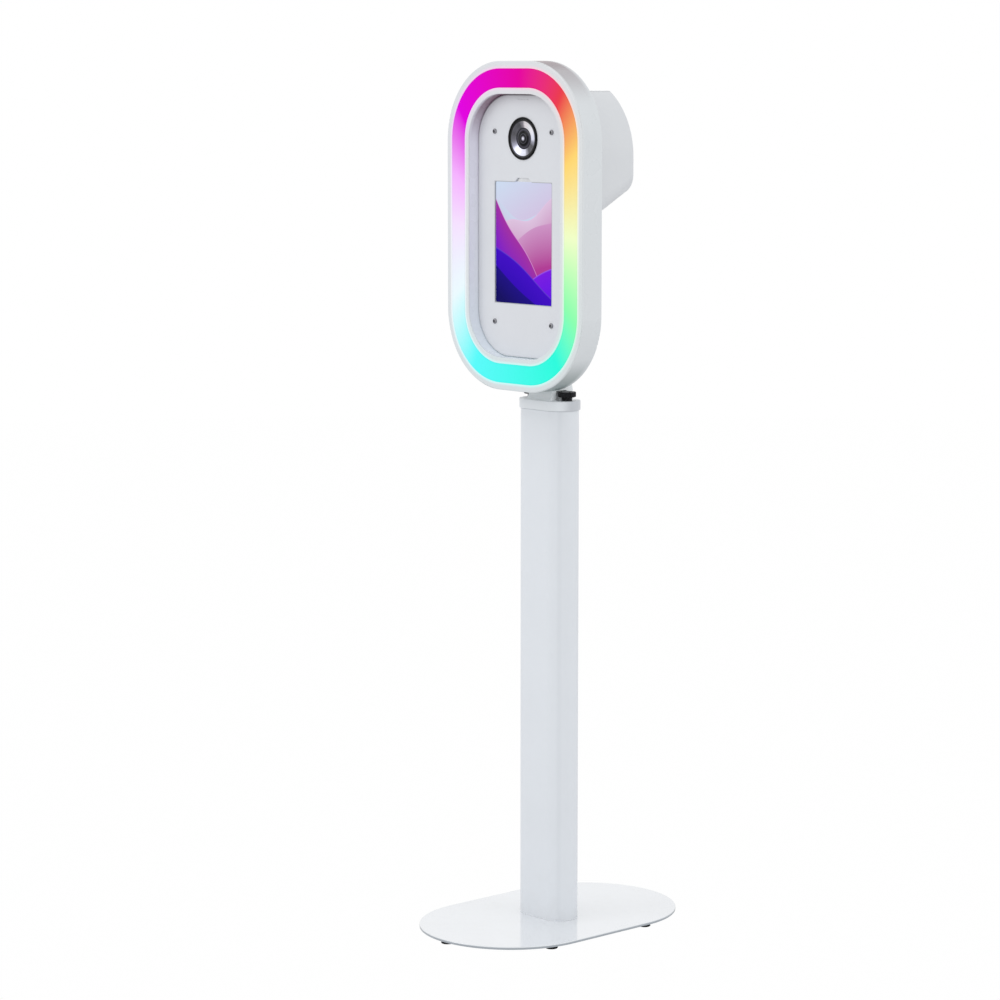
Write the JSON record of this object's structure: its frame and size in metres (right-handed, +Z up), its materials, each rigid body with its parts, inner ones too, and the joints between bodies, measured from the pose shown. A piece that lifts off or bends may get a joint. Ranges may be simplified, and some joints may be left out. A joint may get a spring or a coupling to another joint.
{
  "type": "photo booth",
  "caption": "Free-standing photo booth: a tilting lit ring head with a tablet and a camera, on a flat oval column and a rounded base plate.",
  "frame": {"origin": "on the floor under the middle of the base plate", "axes": "+Z up, the lit front faces -Y, +X is the viewer's right"},
  "size_m": [0.3718, 0.5446, 1.6357],
  "materials": {
    "white_steel": "satin white powder coat",
    "white_plastic": "gloss white",
    "panel_white": "satin white",
    "rubber_black": "matt black",
    "zinc_steel": "zinc plated",
    "cast_insert": "machined",
    "knob_black": "matt black moulding",
    "washer_nylon": "natural nylon",
    "diffuser_opal": "opal, lit in colours from behind",
    "board_white": "white solder mask",
    "led_chip": "clear resin over phosphor",
    "screw_bright": "polished dome head",
    "ring_black": "gloss black",
    "cone_bright": "turned and polished",
    "lens_glass": "dark purple coating",
    "tablet_silver": "fine blasted, white front border",
    "tablet_picture": "lit screen with a layered wave picture",
    "tablet_keys": "fine blasted",
    "cradle_steel": "matt dark grey",
    "housing_white": "satin white",
    "door_white": "satin white",
    "hinge_steel": "brushed",
    "latch_black": "satin black",
    "camera_black": "fine grained black",
    "camera_glass": "dark display glass",
    "lens_black": "satin black",
    "ring_rubber": "ribbed black",
    "supply_black": "textured black",
    "controller_alu": "anodised",
    "inlet_black": "satin black",
    "pin_brass": "bright"
  },
  "bodies": {
    "stand": {"base_plate": "white_steel", "rubber_feet": "rubber_black", "foot_screws": "zinc_steel", "column_tube": "white_steel", "column_foot": "cast_insert", "column_bolts": "zinc_steel", "column_cap": "white_plastic", "column_top_insert": "cast_insert", "neck_yoke": "white_steel", "neck_bolts": "zinc_steel", "pivot_bolt": "zinc_steel", "pivot_nut": "zinc_steel", "friction_washers": "washer_nylon"},
    "head": {"tilt_bracket": "white_steel", "bracket_screws": "zinc_steel", "head_shell": "white_plastic", "inner_frame": "white_plastic", "frame_screws": "zinc_steel", "led_diffuser": "diffuser_opal", "led_board": "board_white", "led_chips": "led_chip", "front_panel": "panel_white", "panel_screws": "screw_bright", "panel_standoffs": "zinc_steel", "lens_port_ring": "ring_black", "lens_port_cone": "cone_bright", "port_glass": "lens_glass", "tablet_screen": "tablet_picture", "tablet_body": "tablet_silver", "tablet_cradle": "cradle_steel", "cradle_posts": "zinc_steel", "camera_housing": "housing_white", "housing_screws": "zinc_steel", "door_hinge_leaves": "hinge_steel", "door_hinge_pin": "hinge_steel", "camera_shelf": "cradle_steel", "shelf_screws": "zinc_steel", "camera_body": "camera_black", "camera_display": "camera_glass", "lens_barrel": "lens_black", "lens_front_glass": "lens_glass", "power_supply": "supply_black", "led_controller": "controller_alu", "power_inlet": "inlet_black", "inlet_pins": "pin_brass"},
    "knob_left": {"thumb_knob_left": "knob_black", "knob_stud_left": "zinc_steel"},
    "knob_right": {"thumb_knob_right": "knob_black", "knob_stud_right": "zinc_steel"},
    "door": {"rear_door": "door_white"},
    "latch": {"door_latch": "latch_black"},
    "zoom": {"zoom_ring": "ring_rubber"},
    "focus": {"focus_ring": "ring_rubber"},
    "shutter": {"shutter_button": "camera_black"},
    "dial": {"mode_dial": "camera_black"},
    "mount_screw": {"camera_mount_screw": "zinc_steel"},
    "rocker": {"rocker_switch": "inlet_black"},
    "power_key": {"tablet_power_key": "tablet_keys"},
    "volume_key": {"tablet_volume_key": "tablet_keys"}
  },
  "joints": [
    {"name": "head_tilt", "type": "hinge", "parent": "stand", "child": "head", "pos_m": [0, 0, 1.06], "axis": [1, 0, 0], "range_deg": [-20, 12]},
    {"name": "knob_turn_left", "type": "hinge", "parent": "stand", "child": "knob_left", "pos_m": [-0.047, 0, 1.0136], "axis": [0, 0, 1], "continuous": true},
    {"name": "knob_turn_right", "type": "hinge", "parent": "stand", "child": "knob_right", "pos_m": [0.047, 0, 1.0136], "axis": [0, 0, 1], "continuous": true},
    {"name": "door_swing", "type": "hinge", "parent": "head", "child": "door", "pos_m": [-0.0968, 0.0805, 1.4924], "axis": [0, 0, 1], "range_deg": [0, 110]},
    {"name": "latch_turn", "type": "hinge", "parent": "door", "child": "latch", "pos_m": [0.075, 0.078, 1.4924], "axis": [0, 1, 0], "range_deg": [0, 90]},
    {"name": "zoom_turn", "type": "hinge", "parent": "head", "child": "zoom", "pos_m": [0, -0.0105, 1.4933], "axis": [0, 1, 0], "range_deg": [0, 70]},
    {"name": "focus_turn", "type": "hinge", "parent": "head", "child": "focus", "pos_m": [0, -0.032, 1.4933], "axis": [0, 1, 0], "range_deg": [-60, 60]},
    {"name": "shutter_press", "type": "slide", "parent": "head", "child": "shutter", "axis": [0, 0, -1], "range_m": [0, 0.0012], "stiffness_N_per_m": 300},
    {"name": "dial_turn", "type": "hinge", "parent": "head", "child": "dial", "pos_m": [-0.042, 0.0384, 1.544], "axis": [0, 0, 1], "continuous": true},
    {"name": "mount_screw_turn", "type": "hinge", "parent": "head", "child": "mount_screw", "pos_m": [0, 0.036, 1.44], "axis": [0, 0, 1], "continuous": true},
    {"name": "rocker_tilt", "type": "hinge", "parent": "head", "child": "rocker", "pos_m": [-0.1452, -0.004, 1.4405], "axis": [0, 1, 0], "range_deg": [-14, 0]},
    {"name": "power_key_press", "type": "slide", "parent": "head", "child": "power_key", "axis": [0, 0, -1], "range_m": [0, 0.0004], "stiffness_N_per_m": 500},
    {"name": "volume_key_press", "type": "slide", "parent": "head", "child": "volume_key", "axis": [-1, 0, 0], "range_m": [0, 0.0004], "stiffness_N_per_m": 500}
  ]
}
